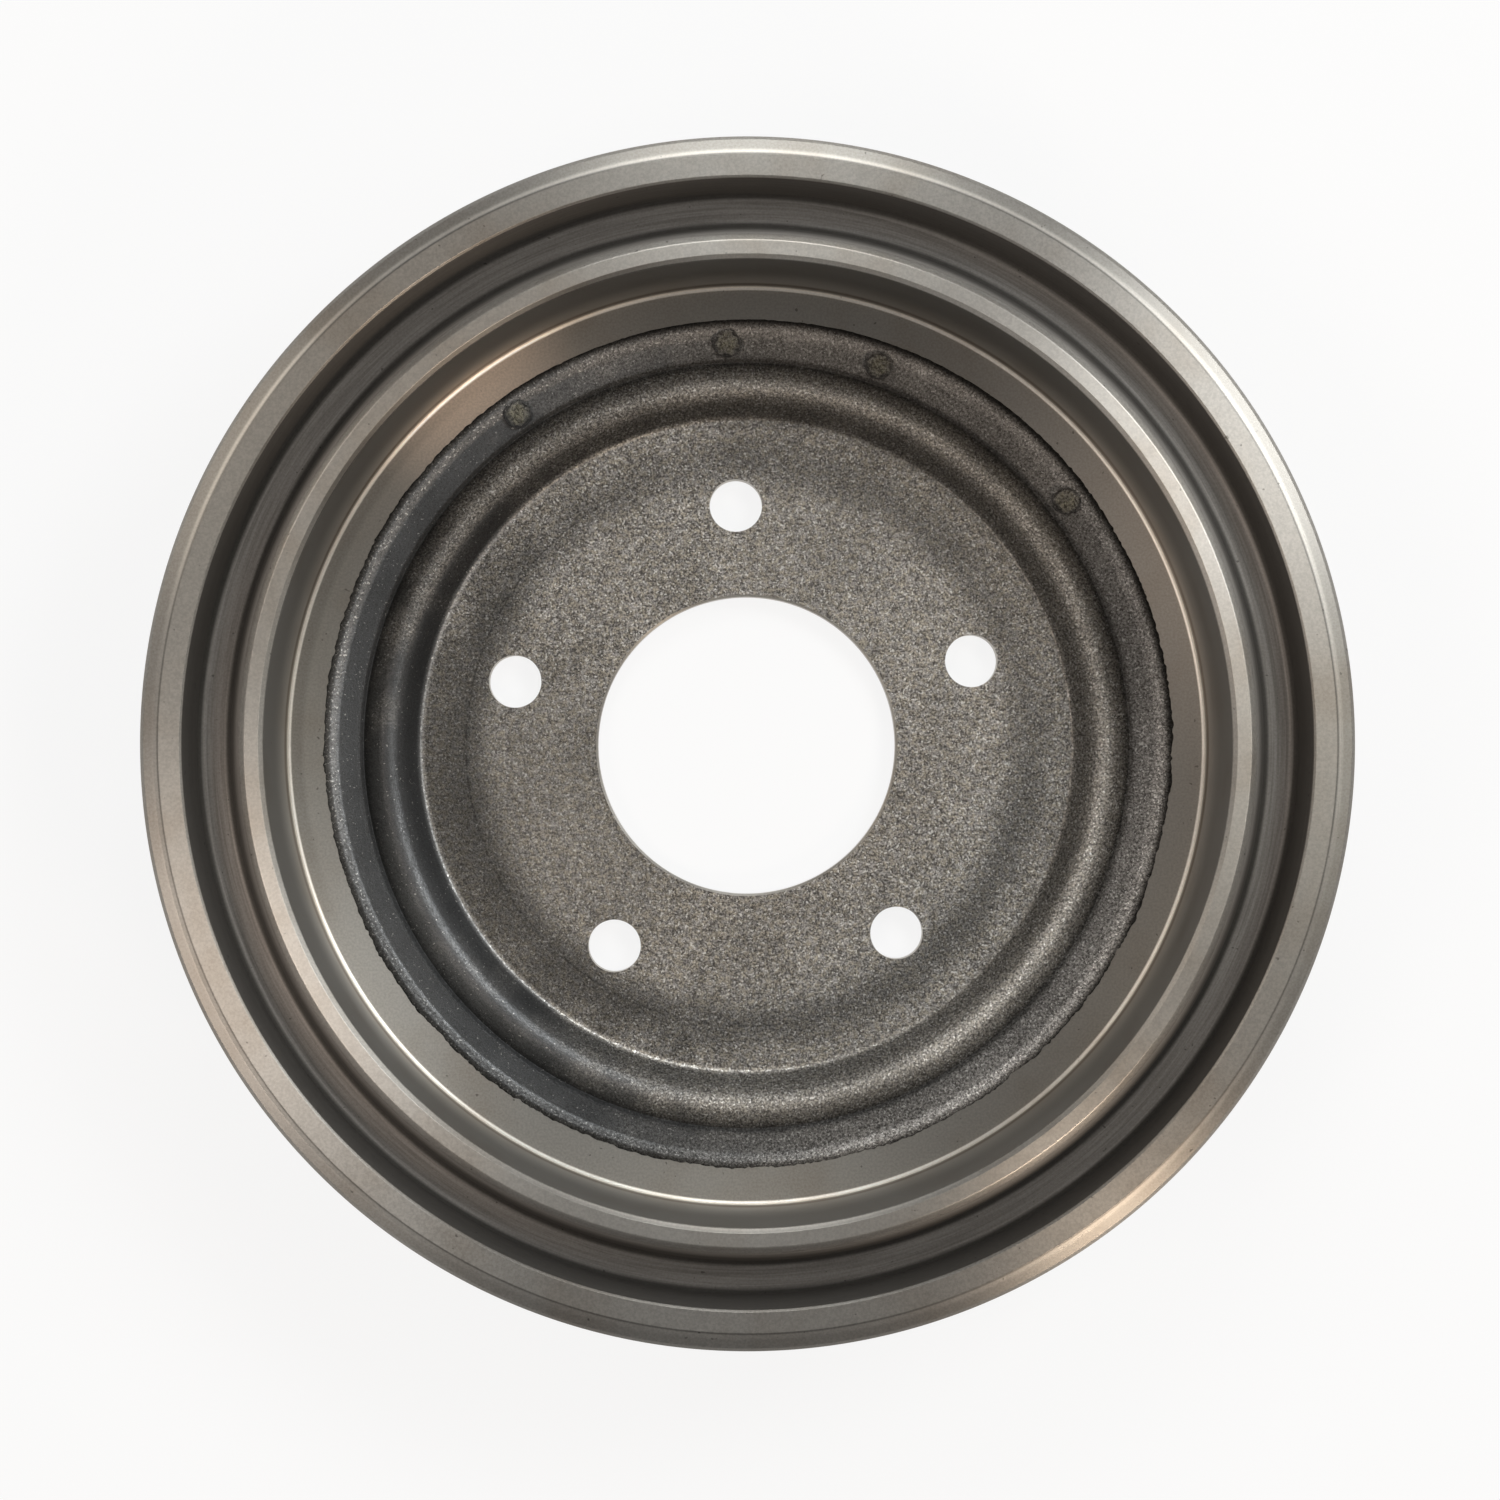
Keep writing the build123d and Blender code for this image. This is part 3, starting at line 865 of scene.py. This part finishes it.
def drilling_tree():
    """Cuts a ring of round holes along the axis."""
    tree, given, made = new_tree("drill_the_lug_holes", {
        "Circle radius": "NodeSocketFloat", "Hole radius": "NodeSocketFloat", "Count": "NodeSocketInt",
        "First angle": "NodeSocketFloat", "Depth": "NodeSocketFloat", "Sides": "NodeSocketInt",
        "Drilled": "NodeSocketMaterial",
    })
    ring = add_node(tree, "GeometryNodeMeshCircle", {
        "Vertices": given["Count"], "Radius": given["Circle radius"],
    }).outputs["Mesh"]
    turn = add_node(tree, "ShaderNodeCombineXYZ", {"Z": given["First angle"]}).outputs["Vector"]
    ring = add_node(tree, "GeometryNodeTransform", {"Geometry": ring, "Rotation": turn}).outputs["Geometry"]
    drill = add_node(tree, "GeometryNodeMeshCylinder", {
        "Vertices": given["Sides"], "Radius": given["Hole radius"], "Depth": given["Depth"],
    }).outputs["Mesh"]
    drills = add_node(tree, "GeometryNodeInstanceOnPoints", {"Points": ring, "Instance": drill})
    drills = add_node(tree, "GeometryNodeRealizeInstances", {"Geometry": drills.outputs["Instances"]})
    drills = add_node(tree, "GeometryNodeSetMaterial", {
        "Geometry": drills.outputs["Geometry"], "Material": given["Drilled"],
    })
    cut = add_node(tree, "GeometryNodeMeshBoolean", {
        "Mesh 1": given["Geometry"], "Mesh 2": drills.outputs["Geometry"],
    }, operation="DIFFERENCE", solver="EXACT")
    tree.links.new(cut.outputs["Mesh"], made["Geometry"])
    return tree


use_tree(brake_drum, drilling_tree(), {
    "Circle radius": lug_circle_radius, "Hole radius": lug_hole_radius, "Count": lug_hole_count,
    "First angle": lug_first_angle, "Depth": drill_length, "Sides": drill_sides, "Drilled": turned_iron,
})


# Four low round buttons stand on the cast band. They are cast with the drum, as location
# marks, so they have the same grainy skin. Each is sunk into the band.
button_top_z = relief_z + 0.9 * mm
button_depth = 3 * mm
button_sides = 48
sharp_edge = math.radians(35)


def button_tree():
    """Grows a round button at each of the four angles, and leaves only sharp edges sharp."""
    labels = [f"Angle {number + 1}" for number in range(len(button_angles))]
    tree, given, made = new_tree("raise_the_buttons", {
        "Radius": "NodeSocketFloat", "Top": "NodeSocketFloat", "Depth": "NodeSocketFloat",
        "Sides": "NodeSocketInt", "Circle radius": "NodeSocketFloat", "Sharp edge": "NodeSocketFloat",
        **{label: "NodeSocketFloat" for label in labels}, "Cast": "NodeSocketMaterial",
    })
    button = add_node(tree, "GeometryNodeMeshCylinder", {
        "Vertices": given["Sides"], "Radius": given["Radius"], "Depth": given["Depth"],
    }).outputs["Mesh"]
    middle_z = maths(tree, "SUBTRACT", given["Top"], product(tree, given["Depth"], 0.5))
    place = add_node(tree, "ShaderNodeCombineXYZ", {
        "X": given["Circle radius"], "Z": middle_z,
    }).outputs["Vector"]
    button = add_node(tree, "GeometryNodeTransform", {"Geometry": button, "Translation": place})
    all_buttons = add_node(tree, "GeometryNodeJoinGeometry")
    for label in labels:
        turn = add_node(tree, "ShaderNodeCombineXYZ", {"Z": given[label]}).outputs["Vector"]
        turned = add_node(tree, "GeometryNodeTransform", {
            "Geometry": button.outputs["Geometry"], "Rotation": turn,
        })
        tree.links.new(turned.outputs["Geometry"], all_buttons.inputs["Geometry"])
    cast = add_node(tree, "GeometryNodeSetMaterial", {
        "Geometry": all_buttons.outputs["Geometry"], "Material": given["Cast"],
    })
    union = add_node(tree, "GeometryNodeMeshBoolean", operation="UNION", solver="EXACT")
    tree.links.new(given["Geometry"], union.inputs["Mesh 2"])
    tree.links.new(cast.outputs["Geometry"], union.inputs["Mesh 2"])
    edge = add_node(tree, "GeometryNodeInputMeshEdgeAngle").outputs["Unsigned Angle"]
    soft = add_node(tree, "FunctionNodeCompare", {"A": edge, "B": given["Sharp edge"]},
                    operation="LESS_THAN")
    smooth = add_node(tree, "GeometryNodeSetShadeSmooth", {
        "Geometry": union.outputs["Mesh"], "Shade Smooth": True,
    }, domain="FACE")
    smooth = add_node(tree, "GeometryNodeSetShadeSmooth", {
        "Geometry": smooth.outputs["Geometry"], "Shade Smooth": soft.outputs["Result"],
    }, domain="EDGE")
    tree.links.new(smooth.outputs["Geometry"], made["Geometry"])
    return tree


use_tree(brake_drum, button_tree(), {
    "Radius": button_radius, "Top": button_top_z, "Depth": button_depth, "Sides": button_sides,
    "Circle radius": button_circle_radius, "Sharp edge": sharp_edge, "Cast": cast_iron,
    **{f"Angle {number + 1}": math.radians(angle) for number, angle in enumerate(button_angles)},
})
even_flats = brake_drum.modifiers.new("even_flats", "WEIGHTED_NORMAL")
even_flats.mode = "FACE_AREA"
even_flats.keep_sharp = True
even_flats.weight = 90

evaluated = brake_drum.evaluated_get(bpy.context.evaluated_depsgraph_get())
finished = bpy.data.meshes.new_from_object(evaluated)
brake_drum.modifiers.clear()
brake_drum.data = finished
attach(brake_drum, "root")
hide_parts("brake_drum")


# The table under the drum is plain and white. It looks evenly white where it is seen or
# mirrored, and keeps a faint shadow of the drum.
floor_reach = 4.0
floor_glow = 0.85
floor_mesh = bpy.data.meshes.new("floor")
floor_mesh.from_pydata([(-floor_reach, -floor_reach, 0), (floor_reach, -floor_reach, 0),
                        (floor_reach, floor_reach, 0), (-floor_reach, floor_reach, 0)], [], [(0, 1, 2, 3)])
floor = bpy.data.objects.new("floor", floor_mesh)
bpy.context.scene.collection.objects.link(floor)
floor_material, floor_tree, floor_shader = new_finish("white_table")
floor_shader.inputs["Base Color"].default_value = (0.8, 0.8, 0.8, 1)
floor_shader.inputs["Roughness"].default_value = 0.9
glow = add_node(floor_tree, "ShaderNodeEmission", {"Color": (1, 1, 1, 1), "Strength": 1.0})
ray = add_node(floor_tree, "ShaderNodeLightPath")
seen = maths(floor_tree, "MAXIMUM", ray.outputs["Is Camera Ray"], ray.outputs["Is Glossy Ray"])
seen = maths(floor_tree, "MAXIMUM", seen, ray.outputs["Is Transmission Ray"])
blend = add_node(floor_tree, "ShaderNodeMixShader", {
    0: product(floor_tree, seen, floor_glow), 1: floor_shader.outputs["BSDF"], 2: glow.outputs["Emission"],
})
floor_output = next(node for node in floor_tree.nodes if node.type == "OUTPUT_MATERIAL")
floor_tree.links.new(blend.outputs["Shader"], floor_output.inputs["Surface"])
floor_mesh.materials.append(floor_material)


# Soft studio light: a dim white room and six square lamps. The strongest stands to the upper
# right with a faint one beside it, one stands above, and three warmer ones to the left and below.
room_light = 0.24
lamp_distance = 1.6
world = bpy.data.worlds.new("studio")
bpy.context.scene.world = world
world.use_nodes = True
world_tree = world.node_tree
backdrop = world_tree.nodes["Background"]
backdrop.inputs["Color"].default_value = (1, 1, 1, 1)
world_ray = add_node(world_tree, "ShaderNodeLightPath")
world_tree.links.new(fade(world_tree, world_ray.outputs["Is Camera Ray"], 0.0, 1.0, room_light, 1.0),
                     backdrop.inputs["Strength"])


def soft_lamp(name, azimuth, elevation, width, power, colour):
    """A square soft lamp that faces the drum, by its angle round the axis and its height."""
    light = bpy.data.lights.new(name, "AREA")
    light.size = width
    light.energy = power
    light.color = colour
    lamp = bpy.data.objects.new(name, light)
    turn, rise = math.radians(azimuth), math.radians(elevation)
    outward = Vector((math.cos(rise) * math.cos(turn), math.cos(rise) * math.sin(turn), math.sin(rise)))
    lamp.location = outward * lamp_distance
    lamp.rotation_euler = (-outward).to_track_quat("-Z", "Y").to_euler()
    bpy.context.scene.collection.objects.link(lamp)


soft_lamp("key_lamp", 34, 50, 0.55, 8.6, (0.96, 0.985, 1))
soft_lamp("side_lamp", 0, 58, 0.45, 1.5, (1, 0.98, 0.9))
soft_lamp("top_lamp", 88, 44, 0.62, 6.3, (0.98, 1, 1))
soft_lamp("left_lamp", 150, 38, 0.6, 2.2, (1, 0.9, 0.79))
soft_lamp("low_lamp", 203, 58, 0.5, 4.2, (1, 0.86, 0.76))
soft_lamp("warm_lamp", 308, 40, 0.3, 5.0, (1, 0.81, 0.64))


# The camera looks down into the drum from just under a metre above its rim, a little to
# the lower left of the axis, with +Y at the top of the picture.
camera_place = Vector((-0.0067, -0.0098, 1.0315))
camera_target = Vector((0.00092, -0.00119, 0.0))
camera_back = (camera_place - camera_target).normalized()
camera_right = Vector((0, 1, 0)).cross(camera_back).normalized()
camera_up = camera_back.cross(camera_right)
camera_data = bpy.data.cameras.new("camera")
camera_data.lens = 93.02
camera_data.sensor_width = 36
camera = bpy.data.objects.new("camera", camera_data)
camera.location = camera_place
camera.rotation_euler = Matrix((camera_right, camera_up, camera_back)).transposed().to_euler()
bpy.context.scene.collection.objects.link(camera)
bpy.context.scene.camera = camera
bpy.context.scene.view_settings.view_transform = "Standard"
